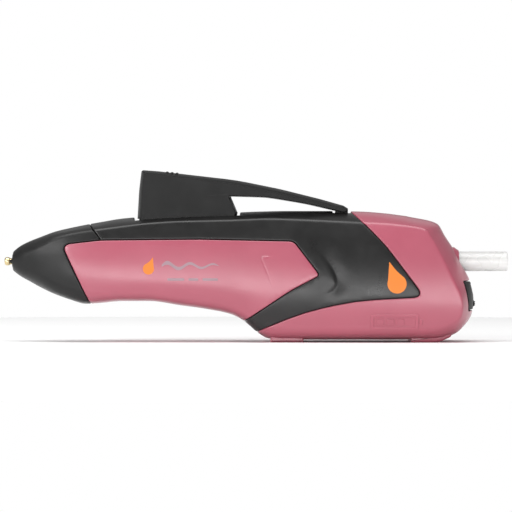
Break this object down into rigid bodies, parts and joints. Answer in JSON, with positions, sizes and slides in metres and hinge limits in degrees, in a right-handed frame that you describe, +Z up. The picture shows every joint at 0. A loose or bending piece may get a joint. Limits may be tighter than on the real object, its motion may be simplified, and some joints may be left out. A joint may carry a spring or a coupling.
{
  "type": "cordless glue gun",
  "caption": "Pen-shaped cordless hot glue gun with a slim tapered nose, a brass nozzle, a feed lever on top, coloured grip panels and a glue stick in its tail.",
  "frame": {"origin": "centre of the bounding box in X and Y, at the level of the feet in Z", "axes": "+X from the nozzle to the tail along the glue stick, +Z up from the feet to the lever, +Y to the gun's right side"},
  "size_m": [0.1808, 0.0356, 0.0617],
  "materials": {
    "panel_pink": "satin pearl",
    "housing_black": "fine grain",
    "lever_black": "satin",
    "nose_black": "satin",
    "brass": "turned",
    "aluminium": "cast",
    "steel": "plain",
    "glue": "translucent wax",
    "silicone": "matte",
    "board_green": "lacquered board",
    "cell_sleeve": "shrink sleeve",
    "heater_white": "ceramic",
    "inner_plastic": "moulded",
    "lens": "clear",
    "wire_red": "silicone wire",
    "wire_black": "silicone wire"
  },
  "bodies": {
    "body": {"housing_left": "housing_black", "housing_right": "housing_black", "grip_panel_left": "panel_pink", "grip_panel_right": "panel_pink", "rear_cover_left": "panel_pink", "rear_cover_right": "panel_pink", "nose_cone": "nose_black", "switch_panel": "housing_black", "stick_collar": "panel_pink", "lever_pin": "steel", "return_spring": "steel", "stick_guide": "inner_plastic", "nozzle": "brass", "melting_chamber": "aluminium", "heater_plate": "heater_white", "heater_clamp": "steel", "temperature_sensor": "heater_white", "chamber_holder": "heater_white", "inlet_sleeve": "silicone", "battery_cell": "cell_sleeve", "battery_tab_front": "steel", "battery_tab_rear": "steel", "circuit_board": "board_green", "slide_switch": "steel", "charging_socket": "steel", "status_lens": "lens", "heater_wire_red": "wire_red", "heater_wire_black": "wire_black", "shell_screw_1": "steel", "shell_screw_2": "steel", "shell_screw_3": "steel", "shell_screw_4": "steel"},
    "lever": {"feed_lever": "lever_black"},
    "carriage": {"feed_carriage": "inner_plastic", "gripper_pin": "steel"},
    "gripper": {"gripper_jaw": "steel"},
    "stick": {"glue_stick": "glue"},
    "switch": {"switch_slider": "lever_black"}
  },
  "joints": [
    {"name": "lever_press", "type": "hinge", "parent": "body", "child": "lever", "pos_m": [0.0308, 0, 0.0442], "axis": [0, -1, 0], "range_deg": [0, 8], "stiffness_Nm_per_rad": 0.6, "springref_deg": -14.32},
    {"name": "carriage_feed", "type": "slide", "parent": "body", "child": "carriage", "axis": [-1, 0, 0], "range_m": [0, 0.0057], "deforming": ["return_spring"]},
    {"name": "gripper_bite", "type": "hinge", "parent": "carriage", "child": "gripper", "pos_m": [-0.0207, 0, 0.0358], "axis": [0, -1, 0], "range_deg": [0, 7.6]},
    {"name": "stick_feed", "type": "slide", "parent": "body", "child": "stick", "axis": [1, 0, 0], "range_m": [0, 0.1]},
    {"name": "switch_travel", "type": "slide", "parent": "body", "child": "switch", "axis": [0, 0, 1], "range_m": [0, 0.002]}
  ],
  "couplings": [
    {"joint": "carriage_feed", "follows": "lever_press", "m_per_rad": 0.04},
    {"joint": "gripper_bite", "follows": "lever_press", "ratio": 0.9375}
  ]
}
